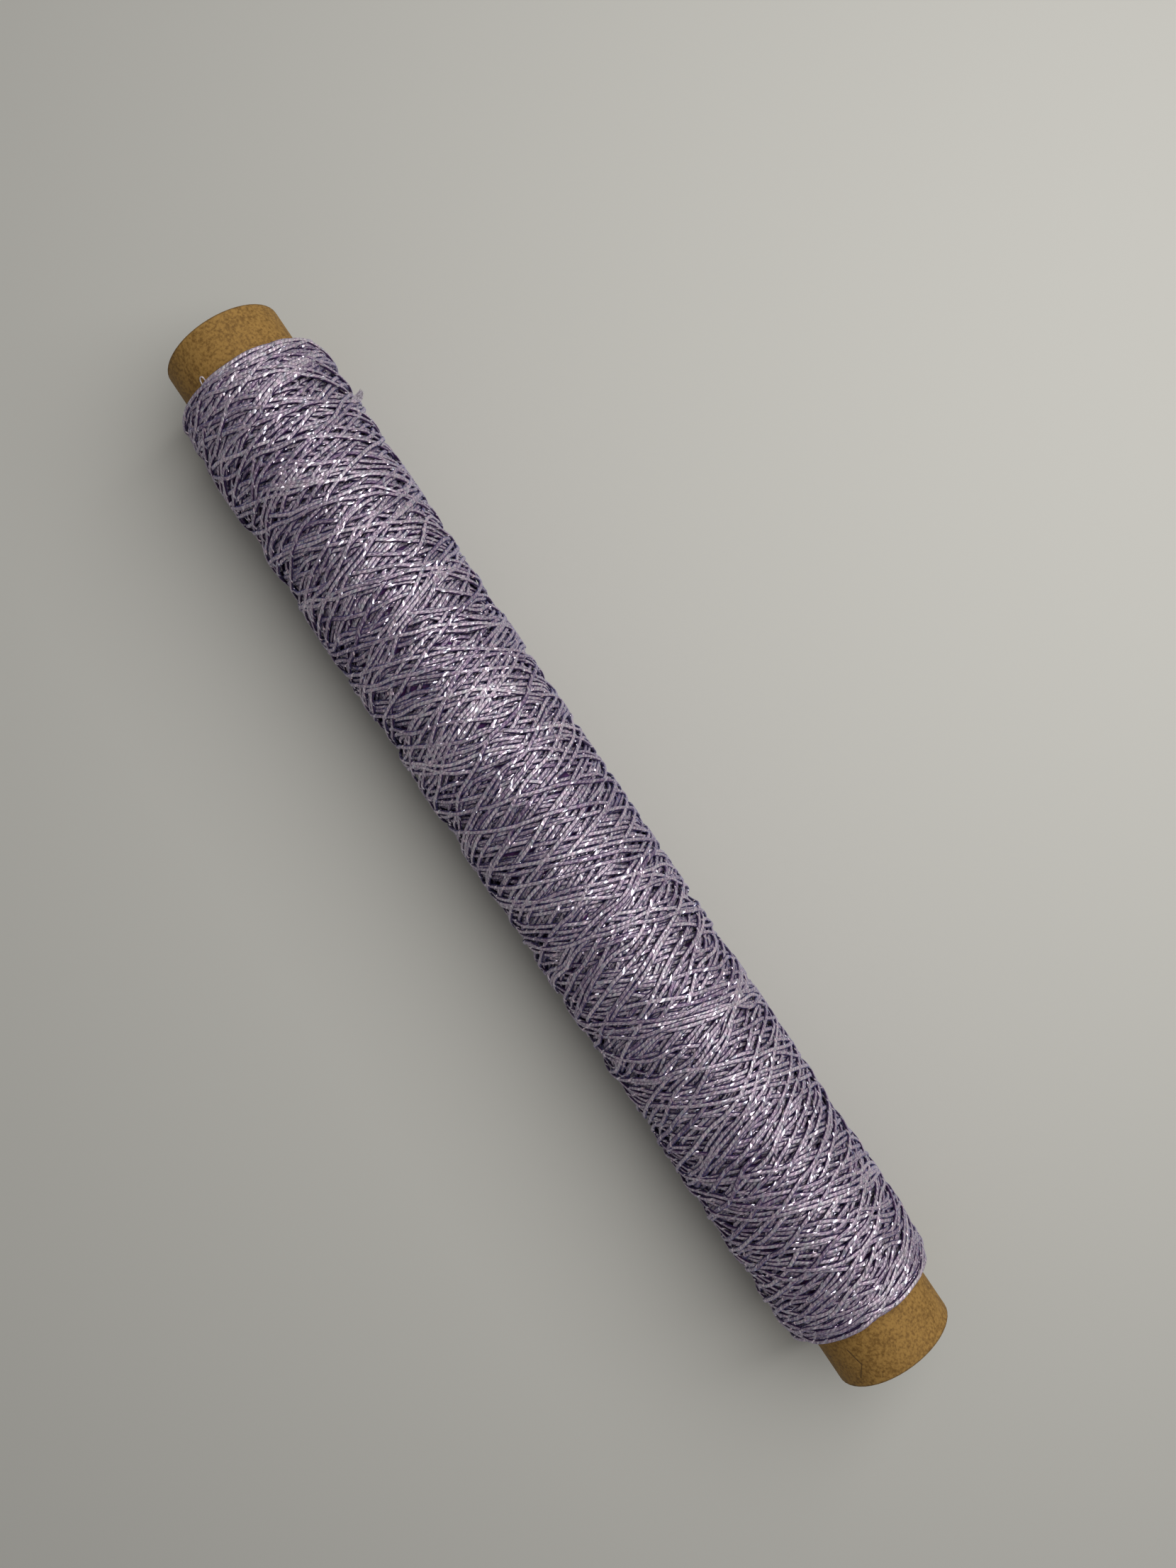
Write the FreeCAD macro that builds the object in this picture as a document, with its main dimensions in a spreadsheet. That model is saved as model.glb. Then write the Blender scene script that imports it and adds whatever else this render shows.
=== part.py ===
import FreeCAD, Part
import Sketcher
import math
import os
from FreeCAD import Vector

# A paper winding tube with sparkling yarn cross-wound on it, lying on its side.
# The origin is the middle of the bore. +X runs along the tube, +Z is up.
# Angles round the tube are measured from +Z towards +Y.

doc = FreeCAD.newDocument("YarnTube")

# Driving dimensions, in millimetres, turns and degrees.
sheet = doc.addObject("Spreadsheet::Sheet", "Sizes")
dimensions = [
    ("TubeLength", 190.0),
    ("BoreDiameter", 17.0),
    ("InnerPly", 0.4),         # thickness of the ply that lines the bore
    ("BodyPly", 0.45),         # thickness of each of the two body plies
    ("CoverPly", 0.2),         # thickness of the kraft cover ply
    ("EdgeRound", 0.08),       # rubbed outer edge of the cover ply
    ("LeftBare", 7.8),         # bare tube beyond the winding at the -X end
    ("RightBare", 9.3),        # bare tube beyond the winding at the +X end
    ("YarnSeat", 0.05),        # clearance of the yarn's bore over the tube
    ("InnerLayers", 1.7),     # depth of the yarn under the outer turns
    ("ShoulderRadius", 1.4),
    ("ThreadDiameter", 0.6),
    ("ThreadSides", 8),
    ("SeatGap", 0.05),         # low turns to the inner layers
    ("CrossingGap", 0.45),     # high turns to the low turns that they cross
    ("TurnsPerPass", 5.75),
    ("TurnInset", 2.6),        # winding's edge to where the thread turns back
    ("TurnStagger", 1.2),      # the second reversal at the +X end lies this much further in
    ("StartLean", 45.0),       # first end's direction, from -X towards straight outwards
    ("StartBend", 0.65),       # radius of its bend into the first turn
    ("FreeEndInset", 14.3),    # winding's -X edge to where the last turn lets go
    ("FreeEndAngle", 47.0),    # where it lets go, round the tube
    ("FreeEndReach", 5.6),     # straight stretch that stands clear of the winding
    ("FrayTurn", 38.0),        # the fibres' turn back over the winding
    ("FrayLength", 2.2),
    ("FrayWidth", 1.7),
    ("FrayThickness", 0.25),
    ("CurlDiameter", 0.3),     # the yarn's first end, one loose strand at the winding's edge
    ("CurlReach", 0.9),
    ("CurlRadius", 0.55),
    ("CurlAngle", -26.0),
    ("CurlLift", 0.05),        # its clearance over the tube
]
for row, (name, value) in enumerate(dimensions, start=1):
    sheet.set("A%d" % row, name)
    sheet.set("B%d" % row, str(value))
    sheet.setAlias("B%d" % row, name)
doc.recompute()


def size(name):
    return float(sheet.get(name))


# Radii that several pieces share, as expressions on the sheet.
boreRadius = "Sizes.BoreDiameter / 2"
plyRadii = [boreRadius]
for ply in ("InnerPly", "BodyPly", "BodyPly", "CoverPly"):
    plyRadii.append(plyRadii[-1] + " + Sizes." + ply)
seatRadiusRule = plyRadii[-1] + " + Sizes.YarnSeat"

tubeRadius = size("BoreDiameter") / 2 + size("InnerPly") + 2 * size("BodyPly") + size("CoverPly")
seatRadius = tubeRadius + size("YarnSeat")
coreRadius = seatRadius + size("InnerLayers")
windingLeft = -size("TubeLength") / 2 + size("LeftBare")
windingRight = size("TubeLength") / 2 - size("RightBare")
threadRadius = size("ThreadDiameter") / 2
lowRadius = coreRadius + size("SeatGap") + threadRadius
highRadius = lowRadius + size("ThreadDiameter") + size("CrossingGap")


def originPlane(body, role):
    return [item for item in body.Origin.OriginFeatures if item.Role == role][0]


def nameSize(sketch, kind, geometry, name, expression):
    """Adds a dimension to a sketch and ties it to the sheet."""
    index = sketch.addConstraint(Sketcher.Constraint(kind, *geometry))
    sketch.renameConstraint(index, name)
    sketch.setExpression("Constraints." + name, expression)


# The tube: four strips of paper wound one on another and glued.

def addPly(label, innerRule, outerRule):
    """One ply of the tube: a ring padded both ways from the middle."""
    body = doc.addObject("PartDesign::Body", label)
    body.Label = label
    ring = body.newObject("Sketcher::SketchObject", label + "_ring")
    ring.AttachmentSupport = (originPlane(body, "YZ_Plane"), [""])
    ring.MapMode = "FlatFace"
    for name, rule in (("InnerRadius", innerRule), ("OuterRadius", outerRule)):
        edge = ring.addGeometry(Part.Circle(Vector(0, 0, 0), Vector(0, 0, 1), tubeRadius))
        ring.addConstraint(Sketcher.Constraint("Coincident", edge, 3, -1, 1))
        nameSize(ring, "Radius", (edge, tubeRadius), name, rule)
    pad = body.newObject("PartDesign::Pad", label + "_pad")
    pad.Profile = ring
    pad.SideType = "Symmetric"
    pad.setExpression("Length", "Sizes.TubeLength")
    return body, pad


innerPly, _ = addPly("tube_inner_ply", plyRadii[0], plyRadii[1])
bodyPlyOne, _ = addPly("tube_body_ply_1", plyRadii[1], plyRadii[2])
bodyPlyTwo, _ = addPly("tube_body_ply_2", plyRadii[2], plyRadii[3])
coverPly, coverPad = addPly("tube_cover_ply", plyRadii[3], plyRadii[4])
doc.recompute()


def isRim(edge):
    """Says whether an edge is one of the tube's two outer end circles."""
    box = edge.BoundBox
    return box.XLength < 1e-6 and abs(box.YLength / 2 - tubeRadius) < 1e-4


rims = ["Edge%d" % (i + 1) for i, edge in enumerate(coverPad.Shape.Edges) if isRim(edge)]
rubbedEdge = coverPly.newObject("PartDesign::Fillet", "rubbed_edge")
rubbedEdge.Base = (coverPad, rims)
rubbedEdge.setExpression("Radius", "Sizes.EdgeRound")


# The yarn under the outer turns: one revolved body with rounded shoulders.

def addInnerLayers(label):
    body = doc.addObject("PartDesign::Body", label)
    body.Label = label
    outline = body.newObject("Sketcher::SketchObject", label + "_outline")
    outline.AttachmentSupport = (originPlane(body, "XZ_Plane"), [""])
    outline.MapMode = "FlatFace"
    bend = size("ShoulderRadius")
    left, right, low, high = windingLeft, windingRight, seatRadius, coreRadius
    normal = Vector(0, 0, 1)
    leftArc = Part.ArcOfCircle(
        Part.Circle(Vector(left + bend, high - bend, 0), normal, bend), math.pi / 2, math.pi)
    rightArc = Part.ArcOfCircle(
        Part.Circle(Vector(right - bend, high - bend, 0), normal, bend), 0, math.pi / 2)
    seat, rightFlank, rightShoulder, top, leftShoulder, leftFlank = outline.addGeometry([
        Part.LineSegment(Vector(left, low, 0), Vector(right, low, 0)),
        Part.LineSegment(Vector(right, low, 0), Vector(right, high - bend, 0)),
        rightArc,
        Part.LineSegment(Vector(right - bend, high, 0), Vector(left + bend, high, 0)),
        leftArc,
        Part.LineSegment(Vector(left, high - bend, 0), Vector(left, low, 0)),
    ])
    outline.addConstraint([
        Sketcher.Constraint("Coincident", seat, 2, rightFlank, 1),
        Sketcher.Constraint("Tangent", rightFlank, 2, rightShoulder, 1),
        Sketcher.Constraint("Tangent", rightShoulder, 2, top, 1),
        Sketcher.Constraint("Tangent", top, 2, leftShoulder, 1),
        Sketcher.Constraint("Tangent", leftShoulder, 2, leftFlank, 1),
        Sketcher.Constraint("Coincident", leftFlank, 2, seat, 1),
        Sketcher.Constraint("Horizontal", seat),
        Sketcher.Constraint("Vertical", rightFlank),
        Sketcher.Constraint("Vertical", leftFlank),
        Sketcher.Constraint("Equal", leftShoulder, rightShoulder),
    ])
    nameSize(outline, "DistanceX", (seat, 1, -1, 1, -left), "LeftReach",
             "Sizes.TubeLength / 2 - Sizes.LeftBare")
    nameSize(outline, "DistanceX", (-1, 1, seat, 2, right), "RightReach",
             "Sizes.TubeLength / 2 - Sizes.RightBare")
    nameSize(outline, "DistanceY", (-1, 1, seat, 1, low), "SeatRadius", seatRadiusRule)
    nameSize(outline, "DistanceY", (seat, 1, top, 2, high - low), "Depth", "Sizes.InnerLayers")
    nameSize(outline, "Radius", (leftShoulder, bend), "Shoulder", "Sizes.ShoulderRadius")
    turned = body.newObject("PartDesign::Revolution", label + "_turned")
    turned.Profile = outline
    turned.ReferenceAxis = (outline, ["H_Axis"])
    turned.Angle = 360
    return body


innerLayers = addInnerLayers("yarn_inner_layers")


# The outer turns: one thread laid to and fro in four passes. It goes right on the
# low level and comes back left on the high one, and climbs or drops between them
# in the half turn where it turns back.

turnsPerPass = size("TurnsPerPass")
quarterTurn = 0.25
halfWindow = quarterTurn                           # turns each side of a reversal
leftReversal = windingLeft + size("TurnInset")
rightReversal = windingRight - size("TurnInset")
letGo = windingLeft + size("FreeEndInset")


def passPitch(run):
    """Axial advance per turn of a pass whose thread runs this far along the tube."""
    return run / (turnsPerPass - halfWindow)


# Corners of the thread's axial zigzag as (turn, place). A corner is rounded off
# halfWindow turns each side, which leaves its tip halfWindow / 2 of a pitch short.
reach = rightReversal - leftReversal
overshoot = passPitch(reach) * halfWindow / 2
lastPitch = passPitch(reach - size("TurnStagger"))
corners = [
    (0, windingLeft - overshoot / 2),
    (turnsPerPass, rightReversal + overshoot),
    (2 * turnsPerPass, leftReversal - overshoot),
    (3 * turnsPerPass, rightReversal - size("TurnStagger") + overshoot),
]
lastPassTurns = (corners[3][1] - letGo) / lastPitch
corners.append((3 * turnsPerPass + lastPassTurns, letGo))
endTurn = corners[4][0] + halfWindow
firstAngle = math.radians(size("FreeEndAngle")) - 2 * math.pi * endTurn


def softAbs(value):
    """Absolute value whose corner is a parabola inside halfWindow."""
    if abs(value) >= halfWindow:
        return abs(value)
    return (value * value + halfWindow * halfWindow) / (2 * halfWindow)


def threadPlace(turn):
    """Point of the thread's centre line at this many turns."""
    slopes = [0.0]
    for (turnA, placeA), (turnB, placeB) in zip(corners, corners[1:]):
        slopes.append((placeB - placeA) / (turnB - turnA))
    slopes.append(0.0)
    x = corners[0][1]
    for (at, _), before, after in zip(corners, slopes, slopes[1:]):
        x += (after - before) / 2 * (turn - at + softAbs(turn - at))
    rise = 0.0
    for number, (at, _) in enumerate(corners[1:4]):
        share = min(max((turn - at) / (2 * halfWindow) + 0.5, 0.0), 1.0)
        step = (1 - math.cos(math.pi * share)) / 2
        rise += step if number % 2 == 0 else -step
    radius = lowRadius + (highRadius - lowRadius) * rise
    angle = firstAngle + 2 * math.pi * turn
    return Vector(x, radius * math.sin(angle), radius * math.cos(angle))


def threadDirection(turn):
    nudge = 1e-4
    return (threadPlace(turn + nudge) - threadPlace(turn - nudge)).normalize()


def circleArc(start, direction, end):
    """Arc from start, leaving along direction, to end."""
    chord = end - start
    side = chord - direction * chord.dot(direction)
    if side.Length < 1e-7:
        return Part.LineSegment(start, end).toShape()
    side.normalize()
    half = math.atan2(chord.dot(side), chord.dot(direction))
    radius = chord.Length / (2 * math.sin(half))
    middle = start + direction * radius * math.sin(half) + side * radius * (1 - math.cos(half))
    return Part.Arc(start, middle, end).toShape()


def biarc(start, startWay, end, endWay):
    """Two arcs that leave start along startWay and reach end along endWay."""
    span = end - start
    ways = startWay + endWay
    bend = 2 * (1 - startWay.dot(endWay))
    across = span.dot(ways)
    reachOut = (-across + math.sqrt(across * across + bend * span.dot(span))) / bend
    startPole = start + startWay * reachOut
    endPole = end - endWay * reachOut
    middle = (startPole + endPole) * 0.5
    joinWay = (endPole - startPole).normalize()
    return [circleArc(start, startWay, middle), circleArc(middle, joinWay, end)]


def ovalWire(centre, across, up, halfWidth, halfHeight):
    """Faceted oval in the plane of across and up, with as many sides as the thread."""
    sides = int(size("ThreadSides"))
    points = []
    for number in range(sides + 1):
        turn = 2 * math.pi * number / sides
        points.append(centre + across * halfWidth * math.cos(turn)
                        + up * halfHeight * math.sin(turn))
    return Part.makePolygon(points)


def sectionWire(centre, way, radius):
    """Faceted circle square to way, which isn't straight up."""
    across = way.cross(Vector(0, 0, 1)).normalize()
    return ovalWire(centre, across, across.cross(way), radius, radius)


def addShape(label, shape):
    item = doc.addObject("Part::Feature", label)
    item.Label = label
    item.Shape = shape
    item.Placement = FreeCAD.Placement()
    return item


def shoulderPoint(lean):
    """Point of the -X shoulder whose outward direction leans this far from -X."""
    bend = size("ShoulderRadius")
    out = Vector(-math.cos(lean), 0, math.sin(lean))
    centre = Vector(windingLeft + bend, 0, coreRadius - bend)
    return centre + out * bend, out


def outerTurnsPath():
    """Edges of the thread's centre line, and the frayed end's place and direction."""
    spin = FreeCAD.Rotation(Vector(1, 0, 0), -math.degrees(firstAngle))
    foot, out = shoulderPoint(math.radians(size("StartLean")))
    foot, out = spin.multVec(foot), spin.multVec(out)
    around = spin.multVec(Vector(0, 1, 0))
    bendStart = foot + out * size("ThreadDiameter")
    bendEnd = bendStart + (out + around) * size("StartBend")
    edges = [
        Part.LineSegment(foot, bendStart).toShape(),
        circleArc(bendStart, out, bendEnd),
    ]
    place, way = bendEnd, around
    steps = round((endTurn - quarterTurn) / quarterTurn)
    turns = [quarterTurn * (number + 1) for number in range(steps)] + [endTurn]
    for turn in turns:
        nextPlace, nextWay = threadPlace(turn), threadDirection(turn)
        edges += biarc(place, way, nextPlace, nextWay)
        place, way = nextPlace, nextWay
    tip = place + way * size("FreeEndReach")
    edges.append(Part.LineSegment(place, tip).toShape())
    return edges, foot, out, tip, way


threadEdges, threadFoot, footWay, threadTip, tipWay = outerTurnsPath()
threadPath = Part.Wire(threadEdges)
threadSection = sectionWire(threadFoot, footWay, threadRadius)
threadTube = threadPath.makePipeShell([threadSection], True, False)

# The package lies on its lowest turns, which are pressed flat by a tenth of the thread.
restLevel = -(highRadius + threadRadius - size("ThreadDiameter") / 10)
floorBlock = Part.makeBox(
    size("TubeLength"), 4 * coreRadius, size("ThreadDiameter"),
    Vector(-size("TubeLength") / 2, -2 * coreRadius, restLevel - size("ThreadDiameter")))
outerTurns = addShape("yarn_outer_turns", threadTube.cut(floorBlock))


# The frayed free end: the thread's cut end opens into a flat fan that curls back to -X.

def addFrayedEnd(label):
    turn = math.radians(size("FrayTurn"))
    back = (Vector(-1, 0, 0) + tipWay * tipWay.x).normalize()
    thin = tipWay.cross(back).normalize()
    fanWay = tipWay * math.cos(turn) + back * math.sin(turn)
    fanAcross = tipWay * math.sin(turn) - back * math.cos(turn)
    fibreTips = threadTip + fanWay * size("FrayLength")
    near = ovalWire(threadTip, back * -1, thin, threadRadius, threadRadius)
    far = ovalWire(fibreTips, fanAcross, thin, size("FrayWidth") / 2, size("FrayThickness") / 2)
    return addShape(label, Part.makeLoft([near, far], True, True))


frayedEnd = addFrayedEnd("yarn_frayed_end")


# The yarn's first end: a loose strand that loops out of the -X flank over the tube.

def addFirstEnd(label):
    strand = size("CurlDiameter")
    height = tubeRadius + size("CurlLift") + strand / 2
    reachOut, bend = size("CurlReach"), size("CurlRadius")
    spin = FreeCAD.Rotation(Vector(1, 0, 0), -size("CurlAngle"))

    def at(x, across):
        return spin.multVec(Vector(x, across, height))

    edgeX = windingLeft - reachOut
    path = Part.Wire([
        Part.LineSegment(at(windingLeft, -bend), at(edgeX, -bend)).toShape(),
        Part.Arc(at(edgeX, -bend), at(edgeX - bend, 0), at(edgeX, bend)).toShape(),
        Part.LineSegment(at(edgeX, bend), at(windingLeft, bend)).toShape(),
    ])
    section = sectionWire(at(windingLeft, -bend), Vector(-1, 0, 0), strand / 2)
    return addShape(label, path.makePipeShell([section], True, False)), path


firstEnd, firstEndPath = addFirstEnd("yarn_first_end")
doc.recompute()


# Reports: bends, the thread's clearance to itself, and volumes against length.

def leastGap(wire, diameter):
    """Least clearance of a thread to itself, between points over two diameters along it."""
    step = diameter / 0.75
    points = wire.discretize(Distance=step)
    skip = int(math.ceil(4 * diameter / step))
    cell = 4 * diameter
    cells = {}
    for number, point in enumerate(points):
        key = (int(point.x // cell), int(point.y // cell), int(point.z // cell))
        cells.setdefault(key, []).append(number)
    least = cell
    for (i, j, k), members in cells.items():
        near = []
        for a in (-1, 0, 1):
            for b in (-1, 0, 1):
                for c in (-1, 0, 1):
                    near += cells.get((i + a, j + b, k + c), [])
        for first in members:
            for second in near:
                if second - first > skip:
                    least = min(least, points[first].distanceToPoint(points[second]))
    return least - diameter


radii = [edge.Curve.Radius for edge in threadPath.Edges if hasattr(edge.Curve, "Radius")]
print("outer turns: %.2f turns, %.0f mm long, least bend radius %.2f mm"
      % (endTurn, threadPath.Length, min(radii)))
print("outer turns: least gap to itself %.3f mm" % leastGap(threadPath, size("ThreadDiameter")))
for item, wire, diameter in ((outerTurns, threadPath, size("ThreadDiameter")),
                             (firstEnd, firstEndPath, size("CurlDiameter"))):
    sides = int(size("ThreadSides"))
    area = sides / 2 * (diameter / 2) ** 2 * math.sin(2 * math.pi / sides)
    print("%s: volume %.3f, section times length %.3f"
          % (item.Label, item.Shape.Volume, area * wire.Length))

nodes = [innerPly, bodyPlyOne, bodyPlyTwo, coverPly, innerLayers, outerTurns, frayedEnd, firstEnd]
for item in doc.Objects:
    if "Invalid" in item.State or "Error" in item.State:
        raise RuntimeError("%s failed: %s" % (item.Label, item.State))
for item in nodes:
    if item.Shape.isNull() or not item.Shape.isValid():
        raise RuntimeError("%s has no valid shape" % item.Label)

os.makedirs("parts", exist_ok=True)
for item in nodes:
    item.Shape.exportStep(os.path.join("parts", item.Label + ".step"))
    print("%s: %d solid, volume %.1f mm3" % (item.Label, len(item.Shape.Solids), item.Shape.Volume))
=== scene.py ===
# Yarn spool: a kraft paper tube cross-wound with metallised yarn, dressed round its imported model.
import math
import bpy
import numpy as np
from mathutils import Matrix, Vector


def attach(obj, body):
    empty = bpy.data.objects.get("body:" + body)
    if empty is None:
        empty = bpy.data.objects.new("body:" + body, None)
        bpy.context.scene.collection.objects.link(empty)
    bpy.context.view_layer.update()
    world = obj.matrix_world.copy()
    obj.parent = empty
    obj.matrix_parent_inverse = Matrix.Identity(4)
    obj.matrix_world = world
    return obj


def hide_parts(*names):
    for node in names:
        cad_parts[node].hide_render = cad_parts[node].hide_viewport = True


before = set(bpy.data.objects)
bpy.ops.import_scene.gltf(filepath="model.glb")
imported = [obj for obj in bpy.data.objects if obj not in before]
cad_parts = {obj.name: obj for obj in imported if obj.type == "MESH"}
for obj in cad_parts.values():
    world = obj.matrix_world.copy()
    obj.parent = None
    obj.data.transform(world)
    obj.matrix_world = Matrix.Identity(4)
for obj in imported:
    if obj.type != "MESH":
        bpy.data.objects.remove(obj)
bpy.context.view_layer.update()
mm = 0.001
fullTurn = 2 * math.pi
print("packed model loaded:", len(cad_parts), "nodes")


# Camera: nearly straight above, with the tube across the frame's diagonal.

cameraValues = {
    "place": (-0.66, 9.05, 190.18),              # mm
    "right": (0.559134, 0.829020, -0.009739),
    "down": (0.828860, -0.559217, -0.016355),
    "lens": 27.48,
    "film": 36.0,                                # long side of the frame
}


def addCamera(values):
    lens = bpy.data.cameras.new("spoolCamera")
    lens.lens, lens.sensor_width, lens.sensor_fit = values["lens"], values["film"], "AUTO"
    lens.clip_start, lens.clip_end = 0.01, 20
    camera = bpy.data.objects.new("spoolCamera", lens)
    bpy.context.scene.collection.objects.link(camera)
    right, down = Vector(values["right"]).normalized(), Vector(values["down"]).normalized()
    back = right.cross(-down)
    turned = Matrix((right, -down, back)).transposed()
    camera.matrix_world = Matrix.LocRotScale(Vector(values["place"]) * mm, turned, None)
    bpy.context.scene.camera = camera


addCamera(cameraValues)
print("camera placed")


# Node helpers.

def colour(red, green, blue):
    # a colour written as display values from 0 to 255, turned into light values
    part = np.array([red, green, blue]) / 255
    light = np.where(part <= 0.04045, part / 12.92, ((part + 0.055) / 1.055) ** 2.4)
    return (*[float(part) for part in light], 1.0)


def addNode(tree, kind, settings=None, inputs=None):
    made = tree.nodes.new("ShaderNode" + kind)
    for name, value in (settings or {}).items():
        setattr(made, name, value)
    for key, value in (inputs or {}).items():
        if isinstance(value, bpy.types.NodeSocket):
            tree.links.new(value, made.inputs[key])
        else:
            made.inputs[key].default_value = value
    return made


def calc(tree, operation, first, second=None, third=None, clamp=False):
    parts = {0: first, 1: second, 2: third}
    inputs = {key: value for key, value in parts.items() if value is not None}
    return addNode(tree, "Math", {"operation": operation, "use_clamp": clamp}, inputs).outputs[0]


def vectorCalc(tree, operation, first, second=None, scale=None, out="Vector"):
    inputs = {0: first}
    if second is not None:
        inputs[1] = second
    if scale is not None:
        inputs["Scale"] = scale
    return addNode(tree, "VectorMath", {"operation": operation}, inputs).outputs[out]


def ease(tree, value, low, high, toLow=0.0, toHigh=1.0):
    # a smooth step from toLow at low to toHigh at high
    step = addNode(tree, "MapRange", {"interpolation_type": "SMOOTHSTEP"}, {
        "Value": value, "From Min": low, "From Max": high, "To Min": toLow, "To Max": toHigh})
    return step.outputs["Result"]


def blendColour(tree, share, first, second):
    made = addNode(tree, "Mix", {"data_type": "RGBA"}, {0: share, 6: first, 7: second})
    return made.outputs[2]


def noise(tree, place, scale, detail=2.0, rough=0.5, kind="FBM"):
    made = addNode(tree, "TexNoise", {"noise_type": kind}, {
        "Vector": place, "Scale": scale, "Detail": detail, "Roughness": rough})
    return made.outputs[0]


def newGroup(name, inputs, outputs):
    # a node group with typed inputs, each with its starting value, and typed outputs
    group = bpy.data.node_groups.new(name, "ShaderNodeTree")
    kinds = {"value": "NodeSocketFloat", "vector": "NodeSocketVector", "colour": "NodeSocketColor"}
    for label, (kind, start) in inputs.items():
        made = group.interface.new_socket(label, in_out="INPUT", socket_type=kinds[kind])
        if start is not None:
            made.default_value = start
    for label, kind in outputs.items():
        group.interface.new_socket(label, in_out="OUTPUT", socket_type=kinds[kind])
    entry = group.nodes.new("NodeGroupInput")
    leave = group.nodes.new("NodeGroupOutput")
    return group, entry.outputs, leave.inputs


def useGroup(tree, group, inputs):
    made = tree.nodes.new("ShaderNodeGroup")
    made.node_tree = group
    for key, value in inputs.items():
        if isinstance(value, bpy.types.NodeSocket):
            tree.links.new(value, made.inputs[key])
        else:
            made.inputs[key].default_value = value
    return made.outputs


def newMaterial(name):
    material = bpy.data.materials.new(name)
    material.use_nodes = True
    tree = material.node_tree
    shader = tree.nodes["Principled BSDF"]
    return material, tree, shader


def placeInMm(tree):
    place = addNode(tree, "TexCoord").outputs["Object"]
    return vectorCalc(tree, "SCALE", place, scale=1 / mm)


# Paper grain, for every ply of the tube: clouds, flocs and single fibres, from places in mm.

def makePaperGrain():
    group, given, out = newGroup(
        "paperGrain", {"Place": ("vector", None), "Floc size": ("value", 0.5)},
        {"Tone": "value", "Fibre": "value", "Height": "value"})
    tree = group
    flocScale = calc(tree, "DIVIDE", 1.0, given["Floc size"])
    flocs = noise(tree, given["Place"], flocScale, 3.0, 0.6)
    clouds = noise(tree, given["Place"], 0.35, 2.0)
    fibreScale = calc(tree, "MULTIPLY", flocScale, 0.55)
    ridges = noise(tree, given["Place"], fibreScale, 3.0, 0.55, "RIDGED_MULTIFRACTAL")
    fibre = ease(tree, ridges, 0.98, 1.3)
    mixed = calc(tree, "MULTIPLY_ADD", flocs, 0.78, calc(tree, "MULTIPLY", clouds, 0.22))
    tree.links.new(ease(tree, mixed, 0.33, 0.62), out["Tone"])
    tree.links.new(fibre, out["Fibre"])
    height = calc(tree, "MULTIPLY_ADD", fibre, 0.4, flocs)
    tree.links.new(height, out["Height"])
    return group


def makeScoreLine():
    # a pressed line: one on the straight run from Start to End, fading out at half its Width
    group, given, out = newGroup(
        "scoreLine", {"Place": ("vector", None), "Start": ("vector", None),
                      "End": ("vector", None), "Width": ("value", 0.2)}, {"Mask": "value"})
    tree = group
    run = vectorCalc(tree, "SUBTRACT", given["End"], given["Start"])
    fromStart = vectorCalc(tree, "SUBTRACT", given["Place"], given["Start"])
    share = calc(tree, "DIVIDE", vectorCalc(tree, "DOT_PRODUCT", fromStart, run, out="Value"),
                 vectorCalc(tree, "DOT_PRODUCT", run, run, out="Value"), clamp=True)
    nearest = vectorCalc(tree, "SCALE", run, scale=share)
    away = vectorCalc(tree, "LENGTH", vectorCalc(tree, "SUBTRACT", fromStart, nearest), out="Value")
    reach = calc(tree, "DIVIDE", away, given["Width"])
    tree.links.new(ease(tree, reach, 0.2, 0.6, 1.0, 0.0), out["Mask"])
    return group


paperGrain = makePaperGrain()
scoreLine = makeScoreLine()

kraftValues = {
    "light": (160, 122, 62), "dark": (114, 81, 31), "fibreTone": (84, 56, 20),
    "rimTone": (84, 60, 30),
    "flocs": 0.5, "fibres": 0.2,   # size of the mottling, mm, and how much fibres show
    "end": 95.0, "rim": 0.35,    # the tube's end and its darkened edge, mm
    "creases": [                 # start, end, width, strength
        ((88.6, -6.1, 7.9), (91.3, -5.5, 8.35), 0.30, 0.9),
        ((91.3, -5.5, 8.35), (93.4, -6.8, 7.33), 0.26, 0.8),
        ((91.0, 0.4, 10.0), (91.6, 0.1, 10.0), 0.18, 0.5),
        ((93.4, -3.4, 9.4), (94.2, -3.9, 9.2), 0.18, 0.4),
    ],
}


def makeKraft(values):
    material, tree, shader = newMaterial("kraftPaper")
    place = placeInMm(tree)
    grain = useGroup(tree, paperGrain, {"Place": place, "Floc size": values["flocs"]})
    tone = blendColour(tree, grain["Tone"], colour(*values["dark"]), colour(*values["light"]))
    fibres = calc(tree, "MULTIPLY", grain["Fibre"], values["fibres"])
    tone = blendColour(tree, fibres, tone, colour(*values["fibreTone"]))
    split = addNode(tree, "SeparateXYZ", inputs={0: place}).outputs
    edge = calc(tree, "ABSOLUTE", split["X"])
    rim = ease(tree, edge, values["end"] - values["rim"], values["end"], 0.0, 0.75)
    tone = blendColour(tree, rim, tone, colour(*values["rimTone"]))
    scored = None
    for start, end, width, strength in values["creases"]:
        line = useGroup(tree, scoreLine, {
            "Place": place, "Start": start, "End": end, "Width": width})["Mask"]
        line = calc(tree, "MULTIPLY", line, strength)
        scored = line if scored is None else calc(tree, "MAXIMUM", scored, line)
    # the creases are darkened toward the rim tone: painted shade in them, besides the pressed-in
    # height below
    tone = blendColour(tree, calc(tree, "MULTIPLY", scored, 0.85), tone,
                       colour(*values["rimTone"]))
    height = calc(tree, "MULTIPLY_ADD", scored, -1.6, grain["Height"])
    bump = addNode(tree, "Bump", inputs={"Strength": 0.6, "Distance": 0.07 * mm, "Height": height})
    tree.links.new(tone, shader.inputs["Base Color"])
    tree.links.new(ease(tree, grain["Tone"], 0.0, 1.0, 0.66, 0.8), shader.inputs["Roughness"])
    tree.links.new(bump.outputs[0], shader.inputs["Normal"])
    shader.inputs["Specular IOR Level"].default_value = 0.35
    return material


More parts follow.
